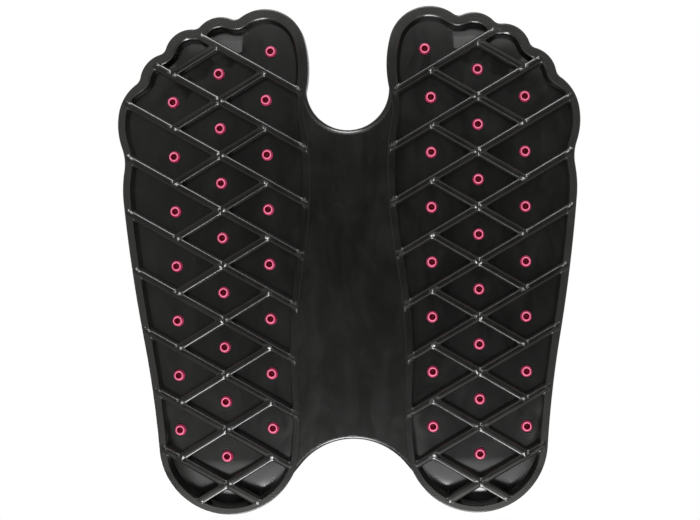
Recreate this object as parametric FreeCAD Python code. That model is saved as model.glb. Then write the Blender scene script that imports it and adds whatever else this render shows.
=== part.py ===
"""Foot-shaped standing mat: one moulding, ribbed underneath, with soft massage pegs pressed through it.

Millimetres.  +Z is up, +Y points to the toes and +X to the standing person's right.  The origin is the
middle of the mat's footprint, on the surface that the ribs stand on.
"""
import FreeCAD, Part
import math
import os
from collections import namedtuple

Vector = FreeCAD.Vector
Circle = namedtuple("Circle", "x y r")

# ---- Heights -------------------------------------------------------------------------------------------
RIM_LIFT = 0.5          # the rim clears the floor by this much: the ribs carry the mat
BED_HEIGHT = 12.0       # footbed above the floor, where it is level
SKIN = 2.5              # thickness of the footbed
LIP = 2.0               # height of the lip round the footbed
TALL = 40.0             # any height above the finished mat
FAR = 160.0             # any distance from the middle that is past the mat's edges
WEB_BOTTOM = 1.2        # underside of the web that joins the feet
WEB_THICKNESS = 3.2

# The footbed is level between these two places and curls up beyond them.
HEEL_CURL_START = -120.0
HEEL_CURL_RADIUS = 90.0
TOE_CURL_START = 133.0
TOE_CURL_RADIUS = 70.0

# ---- Foot plan -----------------------------------------------------------------------------------------
RIM_WIDTH = 4.8         # wall round the hollow underside
TOE_RIM_EXTRA = 1.2     # the wall is thicker round the toes
LIP_WIDTH = 3.2
NOTCH_RADIUS = 5.25     # hollow between two toes
FOOT_CENTRE_X = 77.6    # lengthwise middle line of one foot
SPLAY = 0.42            # degrees that the toes turn outwards

# ---- Web plan ------------------------------------------------------------------------------------------
WEB_HALF_WIDTH = 46.0
TOE_SLOT_Y = 103.75
TOE_SLOT_RADIUS = 24.9
HEEL_SLOT_Y = -148.05
HEEL_SLOT_RADIUS = 40.5
HEEL_SLOT_ARC = 50.0    # degrees each side of the middle, beyond which the edge runs straight
WALL_BITE = 2.0         # how far the web reaches into the feet's walls

# ---- Rib lattice ---------------------------------------------------------------------------------------
PITCH = 33.2            # lengthwise spacing of the ribs and of the pegs
COLUMN = 28.3           # sideways spacing of the peg columns
LATTICE_Y = -1.65       # middle row of rib crossings
TOP_ROW = 4             # rows of crossings run from -TOP_ROW to TOP_ROW
RIB_FLAT = 2.2          # width of the face that stands on the floor
RIB_SHOULDER = 3.9      # width just above the rounded edges
RIB_ROOT = 4.4          # width at the footbed
RIB_ROUNDING = 1.1      # height of the rounded edges
RIB_END = 1.3           # ribs stop this far inside the mat's outer edge
RIB_REACH = 3           # columns each way from the middle that take a long rib past both rims

# ---- Peg -----------------------------------------------------------------------------------------------
NECK_RADIUS = 3.0       # fills the hole in the footbed
COLLAR_RADIUS = 6.2
COLLAR_HEIGHT = 1.2
COLLAR_TAPER = 0.4
DOME_RADIUS = 4.9
PEG_HEIGHT = 9.0        # above the footbed
BARB_RADIUS = 3.55      # shoulder that holds the peg from below
BARB_BAND = 1.0         # height of the shoulder's straight part
TAIL_RADIUS = 2.75      # at the open end
TAIL_LENGTH = 5.0       # below the footbed
TAIL_BORE_RADIUS = 1.95
TAIL_BORE_DEPTH = 8.0
TAIL_BORE_CONE = 0.8    # height of the bore's pointed end
TOE_PEG_X = 46.75
TOE_PEG_Y = 127.5


def direction(angle):
    """Unit vector at an angle in degrees."""
    return Vector(math.cos(math.radians(angle)), math.sin(math.radians(angle)), 0)


# ---- Foot outline --------------------------------------------------------------------------------------
# The outline is a closed ring of arcs, each tangent to the next, counterclockwise.  A hollow arc has a
# negative radius, so two neighbours touch when their centres are the difference of their radii apart.

def turned(previous, angle, radius):
    """The circle that takes over from the previous one where the outline faces the given direction."""
    step = direction(angle) * (previous.r - radius)
    return Circle(previous.x + step.x, previous.y + step.y, radius)


def blended(first, last, radius):
    """The circle that touches two others: outside the foot when it is hollow, inside when it isn't."""
    reach_first = abs(first.r - radius)
    reach_last = abs(last.r - radius)
    along = Vector(last.x - first.x, last.y - first.y, 0)
    gap = along.Length
    along.normalize()
    left = Vector(-along.y, along.x, 0)
    foot = (reach_first ** 2 - reach_last ** 2 + gap ** 2) / (2 * gap)
    rise = math.copysign(math.sqrt(reach_first ** 2 - foot ** 2), radius)
    centre = Vector(first.x, first.y, 0) + along * foot + left * rise
    return Circle(centre.x, centre.y, radius)


def foot_circles(inset, toe_extra=0.0):
    """The outline's circles, for a foot drawn smaller all round by the inset."""
    heel = Circle(74.75, -109.9, 42.65)
    bulge = Circle(65.45, 43.75, 71.7)
    long_side = turned(bulge, -5.2, 997.0)
    ball_side = Circle(97.35, 83.7, 42.2)
    little_toe = turned(ball_side, 10.95, 27.15)
    fourth_toe = Circle(108.3, 109.55, 17.45)
    third_toe = Circle(94.0, 124.75, 16.5)
    second_toe = Circle(76.15, 131.35, 17.0)
    big_toe = Circle(49.55, 128.25, 24.4)
    waist = Circle(-13.1, 92.45, -39.65)
    inner_ball_top = turned(waist, 169.65, 171.5)
    inner_ball = turned(inner_ball_top, 180.0, 326.0)
    instep = turned(inner_ball, 189.6, -344.0)
    toes = (fourth_toe, third_toe, second_toe, big_toe)

    ring = [heel, -655.5, long_side, bulge, -28.35, ball_side, little_toe, -6.5, fourth_toe, -NOTCH_RADIUS,
            third_toe, -NOTCH_RADIUS, second_toe, -NOTCH_RADIUS, big_toe, 65.65, waist, inner_ball_top,
            inner_ball, instep, 224.5]
    shrunk = []
    for item in ring:
        if isinstance(item, Circle):
            extra = toe_extra if item in toes else 0.0
            shrunk.append(item._replace(r=item.r - inset - extra))
        else:
            shrunk.append(item - inset)
    for index, item in enumerate(shrunk):
        if not isinstance(item, Circle):
            after = shrunk[(index + 1) % len(shrunk)]
            shrunk[index] = blended(shrunk[index - 1], after, item)
    return shrunk


def facing(circle, following):
    """Direction, in degrees, that the outline faces where one circle hands over to the next."""
    span = circle.r - following.r
    return math.degrees(math.atan2((following.y - circle.y) / span, (following.x - circle.x) / span))


def on_circle(circle, angle):
    point = direction(angle) * circle.r
    return Vector(circle.x + point.x, circle.y + point.y, 0)


def foot_face(inset=0.0, toe_extra=0.0):
    """Flat face of one foot, at Z = 0."""
    circles = foot_circles(inset, toe_extra)
    edges = []
    for index, circle in enumerate(circles):
        start = facing(circles[index - 1], circle)
        sweep = (facing(circle, circles[(index + 1) % len(circles)]) - start) % 360
        if circle.r < 0:
            sweep -= 360
        points = [on_circle(circle, start + sweep * part) for part in (0.0, 0.5, 1.0)]
        edges.append(Part.Arc(*points).toShape())
    return Part.Face(Part.Wire(Part.sortEdges(edges)[0]))


def foot_prism(bottom, top, inset=0.0, toe_extra=0.0):
    face = foot_face(inset, toe_extra)
    face.translate(Vector(0, 0, bottom))
    return face.extrude(Vector(0, 0, top - bottom))


# ---- Footbed curve -------------------------------------------------------------------------------------

def under_bed(offset):
    """Everything below the footbed's lengthwise curve, moved up by the offset."""
    level = BED_HEIGHT + offset
    heel_radius = HEEL_CURL_RADIUS - offset
    toe_radius = TOE_CURL_RADIUS - offset

    def curl(start, radius, y):
        return Vector(0, y, level + radius - math.sqrt(radius ** 2 - (y - start) ** 2))

    heel_start = Vector(0, HEEL_CURL_START, level)
    toe_start = Vector(0, TOE_CURL_START, level)
    heel_mid = curl(HEEL_CURL_START, heel_radius, (HEEL_CURL_START - FAR) / 2)
    heel_end = curl(HEEL_CURL_START, heel_radius, -FAR)
    toe_mid = curl(TOE_CURL_START, toe_radius, (TOE_CURL_START + FAR) / 2)
    toe_end = curl(TOE_CURL_START, toe_radius, FAR)
    corner_heel = Vector(0, -FAR, -FAR)
    corner_toe = Vector(0, FAR, -FAR)
    edges = [Part.Arc(heel_end, heel_mid, heel_start).toShape(),
             Part.makeLine(heel_start, toe_start),
             Part.Arc(toe_start, toe_mid, toe_end).toShape(),
             Part.makeLine(toe_end, corner_toe),
             Part.makeLine(corner_toe, corner_heel),
             Part.makeLine(corner_heel, heel_end)]
    return Part.Face(Part.Wire(edges)).extrude(Vector(FAR, 0, 0))


# ---- Lattice -------------------------------------------------------------------------------------------

def lattice_point(columns, rows):
    """A place in one foot's lattice, counted outwards and toewards from its middle crossing."""
    turn = math.radians(SPLAY)
    across = columns * COLUMN
    along = rows * PITCH
    return Vector(FOOT_CENTRE_X + across * math.cos(turn) + along * math.sin(turn),
                  LATTICE_Y + along * math.cos(turn) - across * math.sin(turn), 0)


def rib(start, end):
    """Tapered bar from one place to another, standing on the floor and reaching into the footbed."""
    along = end - start
    across = Vector(-along.y, along.x, 0).normalize()
    half = [(RIB_FLAT / 2, 0.0), (RIB_SHOULDER / 2, RIB_ROUNDING), (RIB_ROOT / 2, BED_HEIGHT - SKIN),
            (RIB_ROOT / 2, TALL)]
    right = [start + across * width + Vector(0, 0, height) for width, height in half]
    left = [start - across * width + Vector(0, 0, height) for width, height in reversed(half)]
    return Part.Face(Part.makePolygon(right + left + right[:1])).extrude(along)


def foot_ribs():
    """The long ribs run from rim to rim; the short ones cross them between the outer peg columns."""
    ribs = []
    for row in range(-TOP_ROW, TOP_ROW + 1):
        ribs.append(rib(lattice_point(-RIB_REACH, row - RIB_REACH / 2),
                        lattice_point(RIB_REACH, row + RIB_REACH / 2)))
        outer_end = lattice_point(1, row - 0.5)
        inner_end = lattice_point(-1, row + 0.5)
        if row == TOP_ROW:
            inner_end = lattice_point(0, row)
        if row == -TOP_ROW:
            outer_end = lattice_point(2, row - 1.0)
        ribs.append(rib(outer_end, inner_end))
    return ribs


def peg_places():
    """Name and place of each peg of one foot, the place at the footbed's height."""
    places = [("big_toe", Vector(TOE_PEG_X, TOE_PEG_Y, BED_HEIGHT))]
    for column, name, rows in ((-1, "inner", 7), (0, "middle", 8), (1, "outer", 7)):
        for index in range(rows):
            place = lattice_point(column, (rows - 1) / 2 - index)
            places.append((f"{name}_{index + 1}", place + Vector(0, 0, BED_HEIGHT)))
    return places


# ---- The moulding --------------------------------------------------------------------------------------

def foot_shell():
    """One foot: a rimmed plate, hollow below, with its lattice of ribs and its peg holes."""
    shell = foot_prism(RIM_LIFT, TALL).common(under_bed(LIP))
    bed = foot_prism(0, TALL, LIP_WIDTH).cut(under_bed(0.0))
    hollow = foot_prism(0, TALL, RIM_WIDTH, TOE_RIM_EXTRA).common(under_bed(-SKIN))
    shell = shell.cut(bed).cut(hollow)
    room = foot_prism(0, TALL, RIB_END).common(under_bed(-SKIN / 2))
    bars = [bar.common(room) for bar in foot_ribs()]
    shell = shell.fuse(bars).removeSplitter()
    drills = [Part.makeCylinder(NECK_RADIUS, TALL, place - Vector(0, 0, BED_HEIGHT - RIM_LIFT))
              for _, place in peg_places()]
    return shell.cut(drills)


def heel_slot():
    """Upright prism that cuts the web's heel edge: an arc with a straight run-out on each side."""
    centre = Vector(0, HEEL_SLOT_Y, 0)
    right = centre + direction(90 - HEEL_SLOT_ARC) * HEEL_SLOT_RADIUS
    left = centre + direction(90 + HEEL_SLOT_ARC) * HEEL_SLOT_RADIUS
    far_right = right + direction(-HEEL_SLOT_ARC) * WEB_HALF_WIDTH
    far_left = left + direction(180 + HEEL_SLOT_ARC) * WEB_HALF_WIDTH
    crown = centre + Vector(0, HEEL_SLOT_RADIUS, 0)
    edges = [Part.Arc(right, crown, left).toShape(),
             Part.makeLine(left, far_left),
             Part.makeLine(far_left, far_right),
             Part.makeLine(far_right, right)]
    return Part.Face(Part.Wire(edges)).extrude(Vector(0, 0, TALL))


def web():
    """Thin plate between the feet, let into their walls."""
    slab = Part.makeBox(2 * WEB_HALF_WIDTH, TOE_SLOT_Y - HEEL_SLOT_Y, WEB_THICKNESS,
                        Vector(-WEB_HALF_WIDTH, HEEL_SLOT_Y, WEB_BOTTOM))
    foot = foot_prism(0, TALL, WALL_BITE)
    toe_slot = Part.makeCylinder(TOE_SLOT_RADIUS, TALL, Vector(0, TOE_SLOT_Y, 0))
    pieces = slab.cut([foot, mirrored(foot), toe_slot, heel_slot()]).Solids
    return max(pieces, key=lambda piece: piece.Volume)


def mirrored(shape):
    return shape.mirror(Vector(0, 0, 0), Vector(1, 0, 0))


def peg():
    """Hollow soft peg: domed head, collar, neck, and a barbed tail with an open bore."""
    shaft = [Vector(TAIL_BORE_RADIUS, 0, -SKIN - TAIL_LENGTH),
             Vector(TAIL_RADIUS, 0, -SKIN - TAIL_LENGTH),
             Vector(BARB_RADIUS, 0, -SKIN - BARB_BAND),
             Vector(BARB_RADIUS, 0, -SKIN),
             Vector(NECK_RADIUS, 0, -SKIN),
             Vector(NECK_RADIUS, 0, 0),
             Vector(COLLAR_RADIUS, 0, 0),
             Vector(COLLAR_RADIUS - COLLAR_TAPER, 0, COLLAR_HEIGHT),
             Vector(DOME_RADIUS, 0, COLLAR_HEIGHT),
             Vector(DOME_RADIUS, 0, PEG_HEIGHT - DOME_RADIUS)]
    crown = Vector(0, 0, PEG_HEIGHT)
    bore_top = -SKIN - TAIL_LENGTH + TAIL_BORE_DEPTH
    bore = [Vector(0, 0, bore_top), Vector(TAIL_BORE_RADIUS, 0, bore_top - TAIL_BORE_CONE), shaft[0]]
    diagonal = DOME_RADIUS / math.sqrt(2)
    dome_mid = Vector(diagonal, 0, PEG_HEIGHT - DOME_RADIUS + diagonal)
    edges = [Part.makeLine(a, b) for a, b in zip(shaft, shaft[1:])]
    edges.append(Part.Arc(shaft[-1], dome_mid, crown).toShape())
    edges.append(Part.makeLine(crown, bore[0]))
    edges += [Part.makeLine(a, b) for a, b in zip(bore, bore[1:])]
    profile = Part.Face(Part.Wire(edges))
    return profile.revolve(Vector(0, 0, 0), Vector(0, 0, 1), 360)


def write(shape, name):
    os.makedirs("parts", exist_ok=True)
    shape.exportStep(f"parts/{name}.step")


def main():
    right_foot = foot_shell()
    moulding = right_foot.fuse([mirrored(right_foot), web()]).removeSplitter()
    write(moulding.Solids[0], "base_moulding")
    for name, place in peg_places():
        for side, sign in (("left", -1), ("right", 1)):
            piece = peg()
            piece.translate(Vector(sign * place.x, place.y, place.z))
            write(piece, f"{side}_peg_{name}")
    print("moulding solids", len(moulding.Solids), "volume cm3", round(moulding.Volume / 1000, 1),
          "valid", moulding.isValid())
    box = moulding.BoundBox
    print("moulding box", [round(v, 2) for v in (box.XMin, box.XMax, box.YMin, box.YMax, box.ZMin, box.ZMax)])


main()
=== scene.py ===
"""Looks of the foot-shaped standing mat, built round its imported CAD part.

Plans and heights are in millimetres, objects and materials in metres.
"""

import math
from collections import namedtuple

import bpy
import numpy as np
from mathutils import Euler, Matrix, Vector, geometry


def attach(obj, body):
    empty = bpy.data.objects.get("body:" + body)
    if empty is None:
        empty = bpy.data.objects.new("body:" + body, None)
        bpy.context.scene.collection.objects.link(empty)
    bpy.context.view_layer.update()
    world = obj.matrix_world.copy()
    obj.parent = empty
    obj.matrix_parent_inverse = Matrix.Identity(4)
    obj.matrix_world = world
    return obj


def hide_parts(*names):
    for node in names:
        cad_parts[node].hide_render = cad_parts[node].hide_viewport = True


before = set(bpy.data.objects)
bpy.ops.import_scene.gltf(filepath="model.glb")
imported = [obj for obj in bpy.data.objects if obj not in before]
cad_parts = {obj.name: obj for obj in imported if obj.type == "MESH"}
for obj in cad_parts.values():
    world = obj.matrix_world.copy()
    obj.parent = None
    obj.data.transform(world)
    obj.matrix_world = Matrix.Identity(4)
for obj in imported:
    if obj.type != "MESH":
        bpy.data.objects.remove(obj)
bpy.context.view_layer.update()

MM = 0.001
Circle = namedtuple("Circle", "x y r")

# ---- Dimensions shared with the CAD part ---------------------------------------------------------------
RIM_LIFT = 0.5
BED_HEIGHT = 12.0
SKIN = 2.5
LIP = 2.0
WEB_BOTTOM = 1.2
WEB_THICKNESS = 3.2
HEEL_CURL_START, HEEL_CURL_RADIUS = -120.0, 90.0
TOE_CURL_START, TOE_CURL_RADIUS = 133.0, 70.0
NOTCH_RADIUS = 5.25
FOOT_CENTRE_X = 77.6
SPLAY = 0.42
TOE_SLOT_Y, TOE_SLOT_RADIUS = 103.75, 24.9
HEEL_SLOT_Y, HEEL_SLOT_RADIUS, HEEL_SLOT_ARC = -148.05, 40.5, 50.0
WALL_BITE = 2.0
PITCH = 33.2
COLUMN = 28.3
LATTICE_Y = -1.65
TOP_ROW = 4
NECK_RADIUS = 3.0
TOE_PEG = (46.75, 127.5)

# ---- Finer shapes that the CAD part leaves out ---------------------------------------------------------
RIB_FLAT = 1.05                             # half the width of a rib's flat face
RIB_FADE = 0.8                              # width of the step from a rib's flat face to the rim it crosses
RIB_END, RIB_END_FADE = 1.1, 0.45           # how far inside the outer edge a rib's flat face ends
RIB_END_TOES, RIB_END_HEELS = 2.6, 2.2      # and how much further in it ends at the toes and heels
TOES_FROM, TOES_FADE = 97, 12               # where along the foot the wider rim of the toes begins
HEELS_FROM, HEELS_FADE = -112, 14           # and that of the heels
RIM_ROUNDING = 0.7                          # outer edge of the rim
RIM_RINGS = (0.45, 0.24, 0.09, 0.0)         # insets of the rings on that edge
BED_EDGE = 3.9                              # the footbed begins this far inside the outer edge
CORNER = 0.45                               # softness of the cells' corners
HOLE_SIDES = 28

# The hollow's ceiling under the toes: the big toe's is flatter than the others' and meets them in a crease.
BIG_TOE_LEVEL = 0.65                        # how much of the toes' curl the big toe's ceiling leaves out
CREASE, CREASE_FADE = 63.9, 0.9
SECOND_TOE_TILT = 0.13
SECOND_TOE_FROM, SECOND_TOE_RUN = 128.0, 7
SECOND_TOE_EDGE, SECOND_TOE_FADE = 88, 6
# Shallow dishes above and below the toes: centre, radius and depth. The first is in the top only.
TOE_PADS = [((49.0, 129.0), 21.0, 1.3), ((75.5, 131.5), 13.0, 1.5), ((93.0, 124.0), 12.5, 1.4),
            ((107.0, 109.5), 13.0, 1.3), ((111.5, 91.0), 15.0, 1.0)]
PADS_FROM, PADS_FADE = 92, 20
PADS_BELOW, PADS_ABOVE = 0.35, 0.5          # share of a dish's depth in the ceiling and in the footbed
# A cove round the heel's ceiling, and a level boss round each peg.
HEEL_COVE = 0.5
COVE_FROM, COVE_FADE = -84, 25
COVE_EDGE, COVE_WIDTH = 15, 10
BOSS_RADIUS, BOSS_FADE = 3.6, 6.4
SEAT_RADIUS, SEAT_FADE = 6.6, 9             # level seat of a peg's collar on the footbed

# The web's rounded edges as (width, height).
TOE_SLOT_EDGE, HEEL_SLOT_EDGE, WEB_TOP_EDGE = (2.9, 1.9), (1.8, 1.5), (1.0, 0.9)

# The peg, which stands on the footbed.
TAIL_END = -SKIN - 5.0
BORE_RADIUS, BARB_RADIUS, COLLAR_RADIUS, DOME_RADIUS = 1.95, 3.55, 6.2, 4.9
PEG_TURN = 37                               # degrees that each pair of pegs is turned from the pair before


# ---- Plan ----------------------------------------------------------------------------------------------

def turn_vector(degrees):
    return math.cos(math.radians(degrees)), math.sin(math.radians(degrees))


def turned(previous, angle, radius):
    """The arc that follows the previous one smoothly at an angle."""
    c, s = turn_vector(angle)
    step = previous.r - radius
    return Circle(previous.x + c * step, previous.y + s * step, radius)


def blended(first, last, radius):
    """The arc of a given radius that touches two others."""
    reach_first, reach_last = abs(first.r - radius), abs(last.r - radius)
    along = np.array([last.x - first.x, last.y - first.y])
    gap = np.hypot(*along)
    along /= gap
    foot = (reach_first ** 2 - reach_last ** 2 + gap ** 2) / (2 * gap)
    rise = math.copysign(math.sqrt(reach_first ** 2 - foot ** 2), radius)
    x, y = np.array([first.x, first.y]) + along * foot + np.array([-along[1], along[0]]) * rise
    return Circle(x, y, radius)


def outline_arcs():
    """The right foot's outline as (x, y, radius, start, sweep), counterclockwise.

    A hollow arc's radius is negative.
    """
    heel = Circle(74.75, -109.9, 42.65)
    bulge = Circle(65.45, 43.75, 71.7)
    long_side = turned(bulge, -5.2, 997.0)
    ball_side = Circle(97.35, 83.7, 42.2)
    little_toe = turned(ball_side, 10.95, 27.15)
    fourth_toe = Circle(108.3, 109.55, 17.45)
    third_toe = Circle(94.0, 124.75, 16.5)
    second_toe = Circle(76.15, 131.35, 17.0)
    big_toe = Circle(49.55, 128.25, 24.4)
    waist = Circle(-13.1, 92.45, -39.65)
    inner_ball_top = turned(waist, 169.65, 171.5)
    inner_ball = turned(inner_ball_top, 180.0, 326.0)
    instep = turned(inner_ball, 189.6, -344.0)
    ring = [heel, -655.5, long_side, bulge, -28.35, ball_side, little_toe, -6.5, fourth_toe, -NOTCH_RADIUS,
            third_toe, -NOTCH_RADIUS, second_toe, -NOTCH_RADIUS, big_toe, 65.65, waist, inner_ball_top,
            inner_ball, instep, 224.5]
    for i, item in enumerate(ring):
        if not isinstance(item, Circle):
            ring[i] = blended(ring[i - 1], ring[(i + 1) % len(ring)], item)

    def facing(a, b):
        span = a.r - b.r
        return math.degrees(math.atan2((b.y - a.y) / span, (b.x - a.x) / span))

    arcs = []
    for i, c in enumerate(ring):
        start = facing(ring[i - 1], c)
        sweep = (facing(c, ring[(i + 1) % len(ring)]) - start) % 360
        arcs.append((c.x, c.y, c.r, start, sweep if c.r > 0 else sweep - 360))
    return arcs


ARCS = outline_arcs()


def outline_samples(spacing, turn):
    """Centre, radius and direction of points round the outline."""
    rows = []
    for x, y, r, start, sweep in ARCS:
        n = max(1, math.ceil(max(abs(r * math.radians(sweep)) / spacing, abs(sweep) / turn)))
        for k in range(n):
            c, s = turn_vector(start + sweep * k / n)
            rows.append((x, y, r, c, s))
    return np.array(rows)


OUTLINE = outline_samples(2.0, 6.0)


def outline_at(inset, samples=OUTLINE):
    reach = samples[:, 2] - inset
    return np.stack([samples[:, 0] + reach * samples[:, 3], samples[:, 1] + reach * samples[:, 4]], 1)


def edge_distance(p, arcs=ARCS):
    """How far inside the foot's outline, or some of its arcs, each point is."""
    best = np.full(len(p), 1e6)
    for x, y, r, start, sweep in arcs:
        dx, dy = p[:, 0] - x, p[:, 1] - y
        reach = np.hypot(dx, dy)
        angle = np.degrees(np.arctan2(dy, dx)) + (180 if r < 0 else 0)
        turn = (angle - start) % 360 if sweep > 0 else (start - angle) % 360
        inside = (turn <= abs(sweep) + 1e-6) | (turn >= 360 - 1e-6)
        signed = r - reach if r > 0 else reach + r
        best = np.where(inside & (np.abs(signed) < np.abs(best)), signed, best)
    return best


def smooth(t):
    t = np.clip(t, 0, 1)
    return t * t * (3 - 2 * t)


def bed(y, offset):
    """Height of the footbed's lengthwise curve, moved up by the offset."""
    heel = np.clip(HEEL_CURL_START - y, 0, None)
    toe = np.clip(y - TOE_CURL_START, 0, None)
    heel_r, toe_r = HEEL_CURL_RADIUS - offset, TOE_CURL_RADIUS - offset
    heel_leg, toe_leg = np.sqrt(heel_r ** 2 - heel ** 2), np.sqrt(toe_r ** 2 - toe ** 2)
    return BED_HEIGHT + offset + heel_r - heel_leg + toe_r - toe_leg


def lattice(columns, rows):
    """A place on the lattice of ribs and pegs, counted from the foot's middle."""
    c, s = turn_vector(SPLAY)
    across, along = columns * COLUMN, rows * PITCH
    return np.array([FOOT_CENTRE_X + across * c + along * s, LATTICE_Y + along * c - across * s])


def peg_places():
    places = [("big_toe", np.array(TOE_PEG))]
    for column, name, rows in ((-1, "inner", 7), (0, "middle", 8), (1, "outer", 7)):
        for i in range(rows):
            places.append((f"{name}_{i + 1}", lattice(column, (rows - 1) / 2 - i)))
    return places


PEGS = peg_places()
PEG_XY = np.array([place for _, place in PEGS])


def rib_segments():
    segments = []
    for k in range(-TOP_ROW, TOP_ROW + 1):
        segments.append((lattice(-3, k - 1.5), lattice(3, k + 1.5)))
        first = lattice(2, k - 1.0) if k == -TOP_ROW else lattice(1, k - 0.5)
        last = lattice(0, k) if k == TOP_ROW else lattice(-1, k + 0.5)
        segments.append((first, last))
    return segments


RIBS = rib_segments()


def rib_distance(p):
    best = np.full(len(p), 1e6)
    for a, b in RIBS:
        along = b - a
        t = np.clip((p - a) @ along / (along @ along), 0, 1)
        best = np.minimum(best, np.hypot(*(p - a - t[:, None] * along).T))
    return best


def face_height(p):
    """The rim's height, rounded at the outer edge, where ribs that run over it stand on the floor."""
    d = edge_distance(p)
    inward = np.clip(RIM_ROUNDING - d, 0, RIM_ROUNDING)
    rim = RIM_LIFT + RIM_ROUNDING - np.sqrt(RIM_ROUNDING ** 2 - inward ** 2)
    past_end = d - RIB_END - RIB_END_TOES * toe_share(p) - RIB_END_HEELS * heel_share(p)
    rib = (1 - smooth((rib_distance(p) - RIB_FLAT) / RIB_FADE)) * smooth(past_end / RIB_END_FADE)
    return rim * (1 - rib)


def toe_share(p):
    return smooth((p[:, 1] - TOES_FROM) / TOES_FADE)


def heel_share(p):
    return smooth((HEELS_FROM - p[:, 1]) / HEELS_FADE)


# ---- Cells ---------------------------------------------------------------------------------------------

def line(k, kind, side):
    """A rib's axis as (point, unit normal into the cell). side is +1 for a cell above the rib."""
    centre = lattice(0, k)
    along = lattice(1, k + (0.5 if kind == "long" else -0.5)) - centre
    normal = np.array([-along[1], along[0]]) / np.hypot(*along)
    return centre, normal * side


def cells():
    """Each cell of the lattice as (lines, arcs): the ribs beside it, and the part of the outline near it."""
    found = [[line(TOP_ROW, "long", 1)],
             [line(-TOP_ROW, "long", -1), line(-TOP_ROW, "short", -1)],
             [line(-TOP_ROW, "long", -1), line(-TOP_ROW, "short", 1)]]
    for k in range(1 - TOP_ROW, TOP_ROW + 1):
        strip = [line(k, "long", -1), line(k - 1, "long", 1)]
        found.append(strip + [line(k - 1, "short", -1)])
        found.append(strip + [line(k - 1, "short", 1), line(k, "short", -1)])
        found.append(strip + [line(k, "short", 1)])
    result = []
    for lines in found:
        shape = clipped_outline(lines)
        low, high = shape.min(0) - 4, shape.max(0) + 4
        arcs = []
        for x, y, r, start, sweep in ARCS:
            a = np.radians(start + sweep * np.linspace(0, 1, 40))
            on = np.column_stack([x + r * np.cos(a), y + r * np.sin(a)])
            if np.any(np.all((on > low) & (on < high), 1)):
                arcs.append((x, y, r, start, sweep))
        result.append((lines, arcs))
    return result


# Rows of a cell's wall: inset from a rib's axis, from the outer edge, from the outer edge at the toes and at
# the heel, and height above the rim. The last height is measured from the cell's floor.
WALL = [(RIB_FLAT, 4.20, 4.60, 3.60, 0.00), (1.43, 4.32, 5.35, 3.72, 0.06), (1.77, 4.43, 5.80, 3.84, 0.22),
        (2.04, 4.52, 6.10, 3.94, 0.47), (2.22, 4.60, 6.30, 4.02, 0.79), (2.31, 4.66, 6.44, 4.08, 1.15),
        (2.46, 4.86, 8.00, 6.00, 0.00)]
DOWN = 6                  # rows of the wall above this number hang from the rim


def clipped_outline(lines):
    """A cell's plan, roughly: the outline inside the rim, cut off at the ribs' axes."""
    shape = outline_at(BED_EDGE)
    for point, normal in lines:
        shape = clipped(shape, point, normal)
    return shape


def clipped(polygon, point, normal):
    """The polygon's part on the normal's side of a line."""
    kept = []
    side = (polygon - point) @ normal
    for i in range(len(polygon)):
        j = (i + 1) % len(polygon)
        if side[i] >= 0:
            kept.append(polygon[i])
        if (side[i] >= 0) != (side[j] >= 0):
            t = side[i] / (side[i] - side[j])
            kept.append(polygon[i] + (polygon[j] - polygon[i]) * t)
    return np.array(kept)


def along_run(at, total, points):
    """The places on a run of points whose running total is as asked."""
    return np.column_stack([np.interp(at, total, points[:, 0]), np.interp(at, total, points[:, 1])])


def evenly(loop, weights=None, spacing=0.4):
    """The closed loop again, with points at equal steps of length, or of the weights' sum."""
    steps = np.hypot(*(np.roll(loop, -1, 0) - loop).T)
    if weights is not None:
        steps = steps * (weights + np.roll(weights, -1)) / 2
    total = np.concatenate([[0], np.cumsum(steps)])
    n = max(12, int(total[-1] / spacing))
    at = np.arange(n) * total[-1] / n
    return along_run(at, total, np.vstack([loop, loop[:1]]))


def inside_by(p, cell, row):
    """How far inside a cell's wall each point is, at one row of the wall."""
    lines, arcs = cell
    rib, rim, toe_rim, heel_rim, _ = row
    depths = [(p - point) @ normal - rib for point, normal in lines]
    if len(lines) < 4:
        width = rim + (toe_rim - rim) * toe_share(p) + (heel_rim - rim) * heel_share(p)
        depths.append(edge_distance(p, arcs) - width)
    depths = np.array(depths)
    low = depths.min(0)
    return low - CORNER * np.log(np.exp((low - depths) / CORNER).sum(0))


def projected(p, cell, row, rounds=6):
    """The points moved straight in or out onto the cell's wall."""
    h = 0.02
    for _ in range(rounds):
        depth = inside_by(p, cell, row)
        gx = (inside_by(p + [h, 0], cell, row) - inside_by(p - [h, 0], cell, row)) / (2 * h)
        gy = (inside_by(p + [0, h], cell, row) - inside_by(p - [0, h], cell, row)) / (2 * h)
        scale = np.clip(depth, -1.5, 1.5) / np.maximum(gx ** 2 + gy ** 2, 0.2)
        p = p - np.stack([gx * scale, gy * scale], 1)
    return p


def density(loop):
    """Points per millimetre that a loop or run needs where it bends."""
    chord = np.roll(loop, -1, 0) - loop
    chord[-1] = chord[-2] if np.hypot(*chord[-1]) > 3 * np.hypot(*chord[-2]) else chord[-1]
    heading = np.arctan2(chord[:, 1], chord[:, 0])
    bend = np.abs((heading - np.roll(heading, 1) + np.pi) % (2 * np.pi) - np.pi)
    bend[0] = bend[0] if bend[0] < 1.2 else bend[1]
    bend = bend / np.maximum(np.hypot(*chord.T), 0.05)
    bend = np.max([np.roll(bend, k) for k in (-1, 0, 1)], 0)
    return np.clip(bend / 0.24, 1 / 3.2, 4.0)


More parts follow.
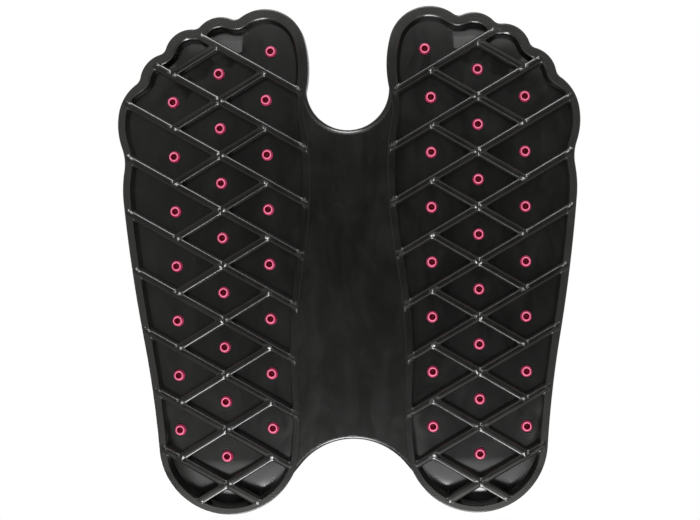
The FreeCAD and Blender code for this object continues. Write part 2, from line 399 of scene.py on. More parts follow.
def cell_loops(cell):
    """Matching loops down the cell's wall, counterclockwise seen from above."""
    loop = projected(evenly(clipped_outline(cell[0])), cell, WALL[0], 10)
    for _ in range(4):
        loop = evenly(loop)
        loop = (np.roll(loop, 1, 0) + 2 * loop + np.roll(loop, -1, 0)) / 4
        loop = projected(loop, cell, WALL[0])
    loop = evenly(loop)
    loop = projected(evenly(loop, density(loop), spacing=1.0), cell, WALL[0])
    sharp = density(loop)
    peak = np.max([np.roll(sharp, k) for k in range(-6, 7)], 0)
    anchors = [i for i in range(len(loop)) if sharp[i] > 1.4 and sharp[i] == peak[i]]
    if len(anchors) < 2:
        anchors = [0, len(loop) // 2]
    anchors = [a for a, b in zip(anchors, anchors[1:] + [anchors[0] + len(loop)]) if b - a > 3]
    runs = list(zip(anchors, anchors[1:] + [anchors[0] + len(loop)]))
    loops = [loop]
    for before, row in zip(WALL, WALL[1:]):
        moved = loops[-1]
        for part in (0.25, 0.5, 0.75, 1.0):
            moved = projected(moved, cell, [u + (v - u) * part for u, v in zip(before, row)], 3)
        fresh = moved.copy()
        for a, b in runs:
            run = moved[[i % len(loop) for i in range(a, b + 1)]]
            length = np.concatenate([[0], np.cumsum(np.hypot(*np.diff(run, axis=0).T))])
            at = np.linspace(0, length[-1], max(8, int(length[-1] / 0.4)))
            fine = projected(along_run(at, length, run), cell, row, 3)
            weights = density(fine)
            steps = np.hypot(*np.diff(fine, axis=0).T) * (weights[1:] + weights[:-1]) / 2
            total = np.concatenate([[0], np.cumsum(steps)])
            at = np.linspace(0, total[-1], b - a + 1)
            fresh[[i % len(loop) for i in range(a, b)]] = along_run(at, total, fine)[:-1]
        loops.append(projected(fresh, cell, row, 2))
    return loops


# ---- Mesh ----------------------------------------------------------------------------------------------

class Builder:
    """Collects a mesh's vertices and faces."""

    def __init__(self):
        self.points, self.normals, self.faces = [], [], []

    def add(self, xy, z, normals=None):
        """New vertices. Normals of zero are left to the mesh."""
        first = len(self.points)
        self.points.extend(np.column_stack([xy, np.broadcast_to(z, len(xy))]).tolist())
        self.normals.extend((np.zeros((len(xy), 3)) if normals is None else normals).tolist())
        return list(range(first, len(self.points)))

    def band(self, low, high):
        """Quads between two matching closed loops. Counterclockwise loops give faces that look outward."""
        n = len(low)
        for i in range(n):
            j = (i + 1) % n
            self.faces.append((low[i], low[j], high[j], high[i]))

    def fill(self, loops, holes, steiner, height, up):
        """Triangles between outer loops and holes, through extra points.

        Loops are lists of vertex numbers.
        """
        known, edges = [], []
        for loop in loops + holes:
            first = len(known)
            known += loop
            edges += [(first + i, first + (i + 1) % len(loop)) for i in range(len(loop))]
        xy = np.array([self.points[i][:2] for i in known])
        extra = thinned(steiner, xy)
        verts = [Vector(v) for v in xy.tolist() + extra.tolist()]
        out, _, tris, origin, _, _ = geometry.delaunay_2d_cdt(verts, edges, [], 1, 1e-6, True)
        number = list(known)
        if len(extra):
            number += self.add(extra, height(extra), slope_normals(height, extra, up))
        index = []
        for v, source in zip(out, origin):
            if source:
                index.append(number[source[0]])
            else:
                spot = np.array([[v.x, v.y]])
                index += self.add(spot, height(spot))
        tris = np.array([t for t in tris if len(t) == 3])
        flat = np.array([v.to_tuple() for v in out])
        middle = flat[tris].mean(1)
        keep = np.zeros(len(tris), bool)
        for loop in loops:
            keep |= in_polygon(middle, np.array([self.points[i][:2] for i in loop]))
        for loop in holes:
            keep &= ~in_polygon(middle, np.array([self.points[i][:2] for i in loop]))
        a, b, c = (flat[tris[:, k]] for k in range(3))
        area = (b[:, 0] - a[:, 0]) * (c[:, 1] - a[:, 1]) - (b[:, 1] - a[:, 1]) * (c[:, 0] - a[:, 0])
        for tri, size in zip(tris[keep], area[keep]):
            corners = [index[k] for k in tri]
            if abs(size) > 1e-3:
                self.faces.append(tuple(corners if (size > 0) == up else corners[::-1]))


def slope_normals(height, p, up):
    """Normals of a surface given by its height, seen from above or from below."""
    h = 0.04
    gx = (height(p + [h, 0]) - height(p - [h, 0])) / (2 * h)
    gy = (height(p + [0, h]) - height(p - [0, h])) / (2 * h)
    n = np.column_stack([-gx, -gy, np.ones(len(p))]) * (1 if up else -1)
    return n / np.linalg.norm(n, axis=1)[:, None]


def wall_normals(points, cell):
    """Normals of a cell's wall at every row but the last, which the mesh splits at the floor's corner."""
    h = 0.02
    result = [slope_normals(face_height, points[0][:, :2], False)]
    for above, here, below, row in zip(points, points[1:], points[2:], WALL[1:]):
        p = here[:, :2]
        into = np.column_stack([inside_by(p + [h, 0], cell, row) - inside_by(p - [h, 0], cell, row),
                                inside_by(p + [0, h], cell, row) - inside_by(p - [0, h], cell, row)])
        into /= np.maximum(np.hypot(*into.T), 1e-9)[:, None]
        n = 0
        for a, b in ((above, here), (here, below)):
            step = b - a
            part = np.column_stack([into * step[:, 2:], -(step[:, :2] * into).sum(1)])
            n = n + part / np.linalg.norm(part, axis=1)[:, None]
        result.append(n / np.linalg.norm(n, axis=1)[:, None])
    return result + [np.zeros_like(points[-1])]


def in_polygon(p, polygon):
    """Which points are inside a closed polygon."""
    low, high = polygon.min(0), polygon.max(0)
    near = np.all((p > low) & (p < high), 1)
    q = p[near]
    inside = np.zeros(len(q), bool)
    for a, b in zip(polygon, np.roll(polygon, -1, 0)):
        crosses = (a[1] > q[:, 1]) != (b[1] > q[:, 1])
        if crosses.any():
            x = a[0] + (q[:, 1] - a[1]) * (b[0] - a[0]) / (b[1] - a[1] if b[1] != a[1] else 1e-12)
            inside ^= crosses & (q[:, 0] < x)
    result = np.zeros(len(p), bool)
    result[near] = inside
    return result


def thinned(extra, fixed, gap=0.35):
    """The extra points without those that nearly touch a fixed point or an earlier extra one."""
    if not len(extra):
        return np.zeros((0, 2))
    taken = set()

    def spots(q):
        x, y = int(math.floor(q[0] / gap)), int(math.floor(q[1] / gap))
        return [(x + i, y + j) for i in (-1, 0, 1) for j in (-1, 0, 1)]

    for q in fixed:
        taken.update(spots(q))
    kept = []
    for q in extra:
        places = spots(q)
        if places[4] not in taken:
            kept.append(q)
            taken.update(places)
    return np.array(kept).reshape(-1, 2)


def grid(low, high, step):
    """A staggered grid of points over a box."""
    rows = []
    for i, y in enumerate(np.arange(low[1], high[1], step * 0.866)):
        xs = np.arange(low[0] + (step / 2 if i % 2 else 0), high[0], step)
        rows.append(np.column_stack([xs, np.full(len(xs), y)]))
    return np.vstack(rows)


def circle(centre, radius, n=HOLE_SIDES):
    angles = np.arange(n) * 2 * np.pi / n
    return np.column_stack([centre[0] + radius * np.cos(angles), centre[1] + radius * np.sin(angles)])


def peg_reach(p):
    """Distance from the nearest peg."""
    return np.min([np.hypot(p[:, 0] - x, p[:, 1] - y) for x, y in PEG_XY], 0)


def pad_depth(p, pads):
    deepest = np.zeros(len(p))
    for (x, y), r, depth in pads:
        from_middle = ((p[:, 0] - x) ** 2 + (p[:, 1] - y) ** 2) / r ** 2
        deepest = np.maximum(deepest, depth * np.clip(1 - from_middle, 0, 1))
    return deepest


def floor_height(p):
    """Ceiling of the hollow, a cell's floor: it follows the footbed, with the shapes listed at the top."""
    x, y = p[:, 0], p[:, 1]
    past_crease = smooth((x - CREASE) / CREASE_FADE)
    z = bed(y - BIG_TOE_LEVEL * (1 - past_crease) * np.clip(y - TOE_CURL_START, 0, None), -SKIN)
    z = z - PADS_BELOW * pad_depth(p, TOE_PADS[1:]) * smooth((y - PADS_FROM) / PADS_FADE)
    tilt = SECOND_TOE_TILT * np.clip(y - SECOND_TOE_FROM, 0, SECOND_TOE_RUN)
    z = z + tilt * past_crease * smooth((SECOND_TOE_EDGE - x) / SECOND_TOE_FADE)
    heel = smooth((COVE_FROM - y) / COVE_FADE)
    z = z + heel * HEEL_COVE * np.clip((COVE_EDGE - edge_distance(p)) / COVE_WIDTH, 0, 1) ** 2
    boss = 1 - smooth((peg_reach(p) - BOSS_RADIUS) / BOSS_FADE)
    return z * (1 - boss) + bed(y, -SKIN) * boss


def top_height(p):
    """The footbed, with shallow dishes for the toes."""
    clear = smooth((peg_reach(p) - SEAT_RADIUS) / SEAT_FADE)
    toes = smooth((p[:, 1] - PADS_FROM) / PADS_FADE)
    return bed(p[:, 1], 0) - pad_depth(p, TOE_PADS) * PADS_ABOVE * clear * toes


# Extra mesh points, in millimetres: rings round a peg as (radius, points), steps of the cells' floors, and
# lines along the crease beside the big toe.
BOSS_RINGS = ((3.6, 20), (4.6, 20), (5.8, 24), (7.2, 24))
FINE_STEP, COARSE_STEP, FINE_ABOVE, FINE_BELOW = 2.2, 4.5, 95, -100
CREASE_ABOVE, CREASE_LINES, CREASE_ROWS = 125, (63.0, 63.9, 64.8, 65.7), np.arange(122, 146, 0.9)
# Insets of the rim's rings and distances of the lines along a rib's flat face.
RIM_FACE_RINGS, RIB_LINES = (1.35, 1.7, 2.1, 2.5, 3.2), (0.0, 1.1, 1.5, 1.9)


def rim_face_points():
    """Mesh points on the rim and on the ribs' ends that run over it."""
    points = [outline_at(d) for d in RIM_FACE_RINGS]
    for start, end in RIBS:
        along = end - start
        length = np.hypot(*along)
        across = np.array([-along[1], along[0]]) / length
        t = np.arange(0, length, 0.7)[:, None] * along / length + start
        for offset in RIB_LINES:
            for side in ((1, -1) if offset else (1,)):
                points.append(t + across * offset * side)
    points = np.vstack(points)
    d = edge_distance(points)
    return points[(d > 1.2) & (d < 8)]


def lip_rings():
    """Rings of the outer wall and the lip, as (inset, height), from the rim to the footbed."""
    top = bed(outline_at(0)[:, 1], LIP)
    low = bed(outline_at(BED_EDGE)[:, 1], 0)
    rings = []
    for d in RIM_RINGS:
        rise = RIM_ROUNDING - math.sqrt(RIM_ROUNDING ** 2 - (RIM_ROUNDING - d) ** 2)
        rings.append((d, np.full(len(top), RIM_LIFT + rise)))
    return rings + [(0.0, top - 0.9), (0.1, top - 0.5), (0.35, top - 0.16), (0.85, top),
                    (2.4, top), (2.85, top - 0.15), (3.1, top - 0.5),
                    (3.2, low + 0.6), (3.4, low + 0.18), (BED_EDGE, low)]


def foot_mesh():
    """The right foot as one closed surface."""
    b = Builder()
    mouths = []
    peg_ring = {}
    for place in PEG_XY:
        xy = circle(place, NECK_RADIUS)
        peg_ring[tuple(place)] = (b.add(xy, bed(xy[:, 1], -SKIN)), b.add(xy, bed(xy[:, 1], 0)))
    for cell in cells():
        loops = cell_loops(cell)
        base = face_height(loops[0])
        heights = [base + row[-1] for row in WALL[:DOWN]]
        heights += [floor_height(loops[-1]) + row[-1] for row in WALL[DOWN:]]
        points = [np.column_stack([xy, z]) for xy, z in zip(loops, heights)]
        rows = [b.add(q[:, :2], q[:, 2], n) for q, n in zip(points, wall_normals(points, cell))]
        for low, high in zip(rows, rows[1:]):
            b.band(high, low)
        mouths.append(rows[0])
        inner = loops[-1]
        holes, extra = [], []
        for place in PEG_XY:
            if in_polygon(place[None], inner)[0]:
                holes.append(peg_ring[tuple(place)][0])
                extra += [circle(place, r, n) for r, n in BOSS_RINGS]
        fine = inner[:, 1].max() > FINE_ABOVE or inner[:, 1].min() < FINE_BELOW
        step = FINE_STEP if fine else COARSE_STEP
        if inner[:, 1].max() > CREASE_ABOVE:
            extra += [np.column_stack([np.full(len(CREASE_ROWS), x), CREASE_ROWS]) for x in CREASE_LINES]
        extra.append(grid(inner.min(0), inner.max(0), step))
        extra = np.vstack(extra)
        extra = extra[inside_by(extra, cell, WALL[-1]) > 0.8]
        b.fill([rows[-1]], holes, extra, floor_height, up=False)

    # The face that stands on the floor, from the rim's rounded edge to the cells' mouths.
    first = outline_at(RIM_ROUNDING)
    outer = b.add(first, face_height(first), slope_normals(face_height, first, False))
    b.fill([outer], mouths, rim_face_points(), face_height, up=False)

    # The outer wall, the lip and the footbed.
    previous = outer
    for inset, z in lip_rings():
        ring = b.add(outline_at(inset), z)
        b.band(previous, ring)
        previous = ring
    inner = outline_at(BED_EDGE)
    extra = [grid(inner.min(0), inner.max(0), 5.0)] + [circle(q, 7.5, 20) for q in PEG_XY]
    extra = np.vstack(extra)
    extra = extra[edge_distance(extra) > BED_EDGE + 1.3]
    b.fill([previous], [ring[1] for ring in peg_ring.values()], extra, top_height, up=True)
    for low_ring, high_ring in peg_ring.values():
        b.band(high_ring, low_ring)
    return b


def toe_slot_ring(d, angles):
    """Points of the gap between the toes, a distance outside its edge."""
    a, r = np.radians(angles), TOE_SLOT_RADIUS + d
    return np.column_stack([r * np.sin(a), TOE_SLOT_Y - r * np.cos(a)])


def heel_slot_ring(d, angles):
    a, r = np.radians(angles), HEEL_SLOT_RADIUS + d
    return np.column_stack([r * np.sin(a), HEEL_SLOT_Y + r * np.cos(a)])


def web_mesh():
    """The plate between the feet, its two free edges rounded."""
    toe = toe_slot_ring(0, np.linspace(-90, 90, 61))
    heel = heel_slot_ring(0, np.linspace(HEEL_SLOT_ARC, -HEEL_SLOT_ARC, 49))
    c, s = turn_vector(HEEL_SLOT_ARC)
    run = np.linspace(12, 1.5, 8)[:, None]
    right_run = heel[0] + run * [c, -s]
    left_run = heel[-1] + run[::-1] * [-c, -s]
    side = outline_at(WALL_BITE)
    medial = side[(side[:, 0] < 60) & (side[:, 1] < toe[-1, 1]) & (side[:, 1] > right_run[0, 1])]
    medial = medial[np.argsort(-medial[:, 1])]
    mirror = medial[::-1] * [-1, 1]
    edge = evenly(np.vstack([toe, medial, right_run, heel, left_run, mirror]), spacing=1.5)

    def slot_distance(p):
        toe_d = np.hypot(p[:, 0], p[:, 1] - TOE_SLOT_Y) - TOE_SLOT_RADIUS
        arc_d = np.hypot(p[:, 0], p[:, 1] - HEEL_SLOT_Y) - HEEL_SLOT_RADIUS
        run_d = (np.abs(p[:, 0]) - heel[0, 0]) * s + (p[:, 1] - heel[0, 1]) * c
        beyond = np.degrees(np.arctan2(np.abs(p[:, 0]), p[:, 1] - HEEL_SLOT_Y)) > HEEL_SLOT_ARC
        return toe_d, np.where(beyond, run_d, arc_d)

    def rounding(d, width, height):
        return height * (1 - np.sqrt(1 - np.clip(1 - d / width, 0, 1) ** 2))

    def under(p):
        toe_d, heel_d = slot_distance(p)
        return WEB_BOTTOM + rounding(toe_d, *TOE_SLOT_EDGE) + rounding(heel_d, *HEEL_SLOT_EDGE)

    def over(p):
        toe_d, heel_d = slot_distance(p)
        return WEB_BOTTOM + WEB_THICKNESS - rounding(np.minimum(toe_d, heel_d), *WEB_TOP_EDGE)

    # Plain points well clear of the slots, then rings that follow the slots' edges.
    plain = grid(edge.min(0), edge.max(0), 6.0)
    extra = [plain[np.minimum(*slot_distance(plain)) > 5.5]]
    for d in (0.12, 0.4, 0.8, 1.3, 1.8, 2.4, 3.0, 3.7):
        extra.append(toe_slot_ring(d, np.linspace(-89, 89, 90)))
        extra.append(heel_slot_ring(d, np.linspace(-HEEL_SLOT_ARC, HEEL_SLOT_ARC, 70)))
        for sign in (1, -1):
            t = np.linspace(0.5, 12, 12)[:, None]
            extra.append((heel[0] + [d * s, d * c] + t * [c, -s]) * [sign, 1])
    extra = np.vstack(extra)
    toe_d, heel_d = slot_distance(extra)
    extra = extra[(np.minimum(toe_d, heel_d) > 0.08) & in_polygon(extra, edge)]
    b = Builder()
    low = b.add(edge, under(edge))
    b.fill([low], [], extra, under, up=False)
    high = b.add(edge, over(edge))
    b.fill([high], [], extra, over, up=True)
    if signed_area(edge) > 0:
        b.band(low, high)
    else:
        b.band(high, low)
    return b


def signed_area(loop):
    x, y = loop[:, 0], loop[:, 1]
    return 0.5 * np.sum(x * np.roll(y, -1) - y * np.roll(x, -1))


def moulding():
    """The whole moulding: two mirrored feet and the web let into their walls."""
    foot, web = foot_mesh(), web_mesh()
    points = np.array(foot.points)
    everything = np.vstack([points, points * [-1, 1, 1], np.array(web.points)]) * MM
    n = len(points)
    faces = list(foot.faces) + [tuple(i + n for i in reversed(f)) for f in foot.faces]
    faces += [tuple(i + 2 * n for i in f) for f in web.faces]
    mesh = bpy.data.meshes.new("mat_moulding")
    mesh.from_pydata(everything.tolist(), [], faces)
    mesh.validate()
    mesh.shade_smooth()
    mesh.set_sharp_from_angle(angle=math.radians(50))

    # The shapes' own normals where they are known, and the mesh's elsewhere.
    normals = np.array(foot.normals)
    normals = np.vstack([normals, normals * [-1, 1, 1], np.array(web.normals)])
    corners, owners = np.zeros(len(mesh.loops) * 3, np.float32), np.zeros(len(mesh.loops), np.int32)
    mesh.corner_normals.foreach_get("vector", corners)
    mesh.loops.foreach_get("vertex_index", owners)
    given = normals[owners]
    known = np.any(given != 0, 1)[:, None]
    mesh.normals_split_custom_set(np.where(known, given, corners.reshape(-1, 3)).tolist())
    piece = bpy.data.objects.new("mat_moulding", mesh)
    bpy.context.scene.collection.objects.link(piece)
    return piece


def lathe(name, profile, sides=40):
    """A closed turned shape about Z. The profile is (radius, height), from the axis to the axis."""
    verts, faces, rows = [], [], []
    for radius, height in profile:
        if radius < 1e-6:
            rows.append([len(verts)])
            verts.append((0, 0, height * MM))
        else:
            rows.append(list(range(len(verts), len(verts) + sides)))
            for k in range(sides):
                c, s = turn_vector(360 * k / sides)
                verts.append((radius * c * MM, radius * s * MM, height * MM))
    for low, high in zip(rows, rows[1:]):
        for k in range(sides):
            j = (k + 1) % sides
            if len(low) == 1:
                faces.append((low[0], high[k], high[j]))
            elif len(high) == 1:
                faces.append((low[j], low[k], high[0]))
            else:
                faces.append((low[k], high[k], high[j], low[j]))
    mesh = bpy.data.meshes.new(name)
    mesh.from_pydata(verts, [], faces)
    mesh.shade_smooth()
    mesh.set_sharp_from_angle(angle=math.radians(55))
    return mesh


def arc_points(centre, radii, start, end, n):
    """Points of an ellipse's arc in (radius, height)."""
    angles = np.radians(np.linspace(start, end, n))
    return [(centre[0] + radii[0] * math.cos(a), centre[1] + radii[1] * math.sin(a)) for a in angles]


def peg_profile():
    """Heights from the footbed: bore, tail, barb, neck, collar and domed head."""
    profile = [(0.0, TAIL_END + 7.8), (1.2, TAIL_END + 7.7), (BORE_RADIUS, TAIL_END + 7.1),
               (BORE_RADIUS, TAIL_END + 0.3)]
    profile += arc_points((2.15, TAIL_END + 0.2), (0.2, 0.2), 180, 270, 4)
    profile += arc_points((2.4, TAIL_END + 0.35), (0.35, 0.35), 270, 345, 5)
    profile += [(3.42, -SKIN - 1.25), (3.52, -SKIN - 1.0)]
    profile += [(BARB_RADIUS, -SKIN - 0.8), (BARB_RADIUS, -SKIN - 0.05)]
    profile += [(NECK_RADIUS, -SKIN - 0.01), (NECK_RADIUS, 0.02)]
    profile += [(6.15, 0.02), (COLLAR_RADIUS, 0.15), (5.95, 0.85), (5.75, 1.1), (5.45, 1.2)]
    profile += [(5.1, 1.28), (4.92, 1.6)]
    profile += [(DOME_RADIUS, 4.1)] + arc_points((0, 4.1), (DOME_RADIUS, 4.88), 8, 82, 11) + [(0.0, 8.98)]
    return profile


# ---- Materials -----------------------------------------------------------------------------------------

# The black, and the grey it pales towards for cloudy marks, scuffs and a painted sheen on the rim.
BLACK, GREY_OF_MARKS_AND_SHEEN = (0.0012, 0.0012, 0.0011, 1), (0.0212, 0.0212, 0.0190, 1)
# The pink, and the paler pink of its cloudy tone and of a painted highlight on the tails' ends.
PINK, LIGHT_PINK_AND_HIGHLIGHT = (0.52, 0.020, 0.105, 1), (0.90, 0.34, 0.50, 1)


class Nodes:
    """Short ways to add and link shader nodes."""

    def __init__(self, name):
        self.material = bpy.data.materials.new(name)
        self.material.use_nodes = True
        self.tree = self.material.node_tree
        self.shader = self.tree.nodes["Principled BSDF"]

    def add(self, kind, inputs=None, **settings):
        node = self.tree.nodes.new(kind)
        for key, value in settings.items():
            setattr(node, key, value)
        for key, value in (inputs or {}).items():
            self.feed(node.inputs[key], value)
        return node

    def feed(self, socket, value):
        if isinstance(value, bpy.types.NodeSocket):
            self.tree.links.new(value, socket)
        else:
            socket.default_value = value

    def math(self, operation, a, b=0.0, c=0.0):
        return self.add("ShaderNodeMath", {0: a, 1: b, 2: c}, operation=operation).outputs[0]

    def noise(self, vector, scale, detail=2.0, rough=0.5, distortion=0.0):
        settings = {"Vector": vector, "Scale": scale, "Detail": detail, "Roughness": rough,
                    "Distortion": distortion}
        return self.add("ShaderNodeTexNoise", settings).outputs["Fac"]

    def bump(self, strength, distance, height, before=None):
        """Bumps of a height, on top of those before."""
        settings = {"Strength": strength, "Distance": distance, "Height": height}
        if before is not None:
            settings["Normal"] = before
        return self.add("ShaderNodeBump", settings).outputs[0]

    def colour(self, share, first, last):
        """Base colour between two, by the share of the last."""
        node = self.add("ShaderNodeMix", data_type="RGBA")
        self.feed(node.inputs["Factor"], share)
        node.inputs[6].default_value, node.inputs[7].default_value = first, last
        self.tree.links.new(node.outputs[2], self.shader.inputs["Base Color"])

    def ramp(self, value, low, high, out_low, out_high):
        settings = {"Value": value, "From Min": low, "From Max": high, "To Min": out_low, "To Max": out_high}
        return self.add("ShaderNodeMapRange", settings, interpolation_type="SMOOTHSTEP").outputs[0]


def peg_rings(m, place):
    """Faint turned rings round the pegs' holes, as the mould's pins leave them."""
    parts = m.add("ShaderNodeSeparateXYZ", {0: place})
    from_middle = m.math("SUBTRACT", m.math("ABSOLUTE", parts.outputs["X"]), FOOT_CENTRE_X * MM)
    x = m.math("DIVIDE", from_middle, COLUMN * MM)
    y = m.math("DIVIDE", m.math("SUBTRACT", parts.outputs["Y"], LATTICE_Y * MM), PITCH * MM)
    reaches = []
    for column, row in ((0.0, 0.5), (1.0, 0.0)):
        across = m.math("MULTIPLY", m.math("WRAP", m.math("SUBTRACT", x, column), 1.0, -1.0), COLUMN)
        along = m.math("MULTIPLY", m.math("WRAP", m.math("SUBTRACT", y, row), 0.5, -0.5), PITCH)
        squares = m.math("ADD", m.math("POWER", across, 2.0), m.math("POWER", along, 2.0))
        reaches.append(m.math("SQRT", squares))
    reach = m.math("MINIMUM", *reaches)
    wave = m.math("SINE", m.math("MULTIPLY", reach, 4.2))
    return m.math("MULTIPLY", wave, m.ramp(reach, 5.0, 10.5, 1.0, 0.0))


def painted_rim_sheen(m, place):
    """Mask of a painted sheen on the rim's face: 1 on the rim round the outside, the toes and the heels, and
    0 on the web and on the rim beside it.
    """
    parts = m.add("ShaderNodeSeparateXYZ", {0: place})
    y, height = parts.outputs["Y"], parts.outputs["Z"]
    curls = (TOE_CURL_START, TOE_CURL_RADIUS, 1), (HEEL_CURL_START, HEEL_CURL_RADIUS, -1)
    for start, radius, sign in curls:
        past = m.math("MULTIPLY", m.math("SUBTRACT", y, start * MM), sign)
        past = m.math("MAXIMUM", past, 0.0)
        leg = m.math("SQRT", m.math("SUBTRACT", (radius * MM) ** 2, m.math("POWER", past, 2.0)))
        height = m.math("SUBTRACT", height, m.math("SUBTRACT", radius * MM, leg))
    beside = m.ramp(m.math("ABSOLUTE", parts.outputs["X"]), 0.050, 0.080, 0.0, 1.0)
    outside = m.math("MULTIPLY", beside, m.ramp(height, 0.0002, 0.0004, 0.0, 1.0))
    toes = m.ramp(y, 0.120, 0.140, 0.0, 1.0)
    heels = m.ramp(y, -0.130, -0.145, 0.0, 1.0)
    where = m.math("MAXIMUM", outside, m.math("MAXIMUM", toes, heels))
    return m.math("MULTIPLY", where, m.ramp(height, 0.0010, 0.0007, 0.0, 1.0))


def black_plastic():
    """Glossy moulded plastic: cloudy and with scuffs, flow marks drawn out along the mat, and a sheen
    painted paler on the rim's face.
    """
    m = Nodes("black_moulding")
    place = m.add("ShaderNodeTexCoord").outputs["Object"]
    cloud = m.noise(place, 16.0, 4.0, 0.6, 0.8)
    drawn = m.add("ShaderNodeMapping", {"Vector": place, "Scale": (1.0, 0.4, 1.0)}).outputs[0]
    swirl = m.noise(drawn, 70.0, 5.0, 0.62, 0.8)
    grain = m.noise(place, 2200.0, 2.0, 0.6)
    rings = peg_rings(m, place)
    scuffs = m.ramp(m.noise(place, 46.0, 6.0, 0.68, 1.4), 0.56, 0.74, 0.0, 1.0)
    marks = m.math("ADD", m.ramp(cloud, 0.38, 0.66, 0.0, 0.6), m.math("MULTIPLY", scuffs, 0.5))
    # The base colour pales with the cloud and scuffs, and with a painted sheen on the rim's face, paler
    # colour standing in for reflected light.
    share = m.math("ADD", m.math("MULTIPLY", marks, 0.25), m.math("MULTIPLY", painted_rim_sheen(m, place), 0.6))
    m.colour(share, BLACK, GREY_OF_MARKS_AND_SHEEN)
    m.feed(m.shader.inputs["Roughness"], m.ramp(swirl, 0.3, 0.75, 0.17, 0.23))
    flow = m.bump(0.10, 0.0004, swirl)
    fine = m.bump(0.04, 0.00003, grain, flow)
    m.feed(m.shader.inputs["Normal"], m.bump(0.2, 0.00004, rings, fine))
    m.shader.inputs["IOR"].default_value = 1.6
    return m.material


def pink_rubber():
    """Soft satin plastic, paler on the end of a peg's tail, where a highlight is painted."""
    m = Nodes("pink_rubber")
    place = m.add("ShaderNodeTexCoord").outputs["Object"]
    cloud = m.noise(place, 260.0, 3.0, 0.5)
    height = m.add("ShaderNodeSeparateXYZ", {0: place}).outputs["Z"]
    # A painted highlight: the end face of a peg's tail turns paler pink.
    painted_end_highlight = m.ramp(height, -0.0070, -0.0075, 0.0, 0.32)
    share = m.math("ADD", m.ramp(cloud, 0.3, 0.7, 0.0, 0.12), painted_end_highlight)
    m.colour(share, PINK, LIGHT_PINK_AND_HIGHLIGHT)
    m.feed(m.shader.inputs["Roughness"], m.ramp(cloud, 0.3, 0.7, 0.34, 0.46))
    m.feed(m.shader.inputs["Normal"], m.bump(0.15, 0.0001, m.noise(place, 1400.0, 2.0)))
    m.shader.inputs["Subsurface Weight"].default_value = 0.15
    m.shader.inputs["Subsurface Radius"].default_value = (0.004, 0.0015, 0.0015)
    m.shader.inputs["Subsurface Scale"].default_value = 0.5
    return m.material


# ---- Pieces --------------------------------------------------------------------------------------------

plastic, rubber = black_plastic(), pink_rubber()
base = moulding()
base.data.materials.append(plastic)
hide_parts("base_moulding")
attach(base, "root")

peg_mesh = lathe("peg", peg_profile())
peg_mesh.materials.append(rubber)
for number, (name, place) in enumerate(PEGS):
    for side, sign in (("left", -1), ("right", 1)):
        peg = bpy.data.objects.new(f"{side}_{name}_peg", peg_mesh)
        bpy.context.scene.collection.objects.link(peg)
        peg.location = (sign * place[0] * MM, place[1] * MM, BED_HEIGHT * MM)
        peg.rotation_euler = (0, 0, math.radians(PEG_TURN * number * sign))
        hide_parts(f"{side}_peg_{name}")
        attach(peg, "root")

# ---- Stage ---------------------------------------------------------------------------------------------

FLOOR_REACH, FLOOR_HEIGHT = 4, -0.0002
# Brightness of the surroundings, by height: 0 is straight down, 0.5 the horizon and 1 straight up.
SURROUNDINGS = ((0.0, 0.02), (0.002, 0.03), (0.0048, 0.12), (0.0080, 0.5), (0.013, 0.45), (0.022, 0.35),
                (0.5, 0.5))
OVERHEAD = (0.55, 0.55, 0.55, 1)
WARMTH = (1, 0.99, 0.95)
# Soft lights that face the mat's middle: name, place, size and power.
LIGHTS = (("softbox_toes", (0.0, 0.55, -1.1), (0.6, 0.45), 1.1),
          ("softbox_heels", (0.0, -0.52, -1.12), (0.6, 0.5), 1.6),
          ("strip_toes", (0.0, 0.50, -0.36), (0.24, 0.26), 2.3),
          ("strip_heels", (0.0, -0.50, -0.36), (0.24, 0.26), 4.0),
          ("key_above", (0.7, -0.5, 1.3), (0.8, 0.8), 12),
          ("fill_above", (-0.9, 0.6, 1.1), (1.0, 0.8), 7))


def lay_floor(scene):
    """A pale floor, clear from below so that the mat's underside can be seen and lit through it."""
    mesh = bpy.data.meshes.new("floor")
    signs = (-1, -1), (1, -1), (1, 1), (-1, 1)
    corners = [(x * FLOOR_REACH, y * FLOOR_REACH, FLOOR_HEIGHT) for x, y in signs]
    mesh.from_pydata(corners, [], [(0, 1, 2, 3)])
    floor = bpy.data.objects.new("floor", mesh)
    scene.collection.objects.link(floor)
    floor.visible_diffuse = floor.visible_glossy = floor.visible_transmission = floor.visible_shadow = False
    m = Nodes("pale_floor")
    m.shader.inputs["Base Color"].default_value = (0.86, 0.86, 0.86, 1)
    m.shader.inputs["Roughness"].default_value = 0.8
    below = m.add("ShaderNodeNewGeometry").outputs["Backfacing"]
    clear = m.add("ShaderNodeBsdfTransparent").outputs[0]
    mix = m.add("ShaderNodeMixShader", {0: below, 1: m.shader.outputs[0], 2: clear})
    m.tree.links.new(mix.outputs[0], m.tree.nodes["Material Output"].inputs["Surface"])
    mesh.materials.append(m.material)


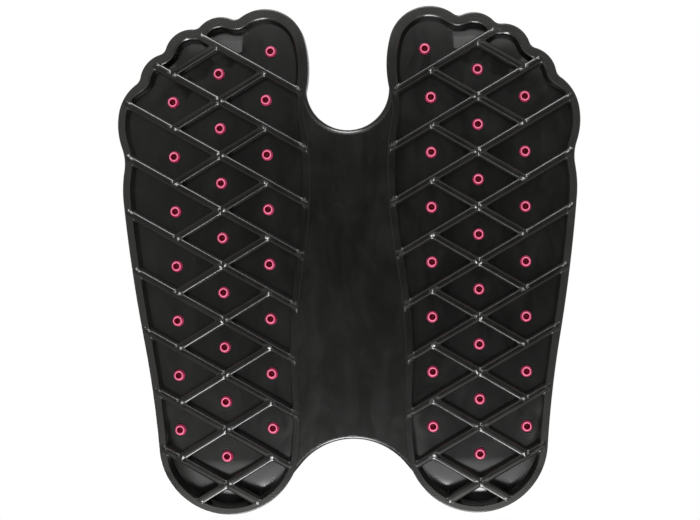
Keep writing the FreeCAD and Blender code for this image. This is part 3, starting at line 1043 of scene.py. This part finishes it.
def surround(scene):
    """Grey surroundings, dark straight below the mat, behind a white background."""
    world = bpy.data.worlds.new("studio")
    scene.world = world
    world.use_nodes = True
    nodes, links = world.node_tree.nodes, world.node_tree.links
    coords, split = nodes.new("ShaderNodeTexCoord"), nodes.new("ShaderNodeSeparateXYZ")
    height, ramp = nodes.new("ShaderNodeMapRange"), nodes.new("ShaderNodeValToRGB")
    links.new(coords.outputs["Generated"], split.inputs[0])
    height.inputs["From Min"].default_value = -1.0
    links.new(split.outputs["Z"], height.inputs["Value"])
    links.new(height.outputs[0], ramp.inputs["Fac"])
    stops = ramp.color_ramp.elements
    for position, level in SURROUNDINGS:
        stop = stops[0] if position == 0.0 else stops.new(position)
        stop.position, stop.color = position, (*(level * tint for tint in WARMTH), 1)
    stops[-1].color = OVERHEAD
    white = nodes.new("ShaderNodeMix")
    white.data_type = "RGBA"
    links.new(nodes.new("ShaderNodeLightPath").outputs["Is Camera Ray"], white.inputs[0])
    links.new(ramp.outputs[0], white.inputs[6])
    white.inputs[7].default_value = (1, 1, 1, 1)
    links.new(white.outputs[2], nodes["Background"].inputs["Color"])


def area_light(scene, name, place, size, power):
    data = bpy.data.lights.new(name, "AREA")
    data.shape, data.size, data.size_y, data.energy = "RECTANGLE", size[0], size[1], power
    lamp = bpy.data.objects.new(name, data)
    lamp.location = place
    lamp.rotation_euler = (Vector() - Vector(place)).to_track_quat("-Z", "Y").to_euler()
    scene.collection.objects.link(lamp)


scene = bpy.context.scene
lay_floor(scene)
surround(scene)
for light in LIGHTS:
    area_light(scene, *light)

# ---- Camera --------------------------------------------------------------------------------------------

# The camera looks up at the underside, toes at the top of the picture.
LENS, SENSOR_WIDTH = 106.813, 36.0
CAMERA_PLACE, CAMERA_TURN = (-0.05601, 0.00862, -1.25), (179.5895, -2.56, -179.1586)

camera_data = bpy.data.cameras.new("camera")
camera_data.lens, camera_data.sensor_width = LENS, SENSOR_WIDTH
camera = bpy.data.objects.new("camera", camera_data)
camera.location = CAMERA_PLACE
camera.rotation_euler = Euler([math.radians(a) for a in CAMERA_TURN])
scene.collection.objects.link(camera)
scene.camera = camera
scene.view_settings.view_transform = "Standard"
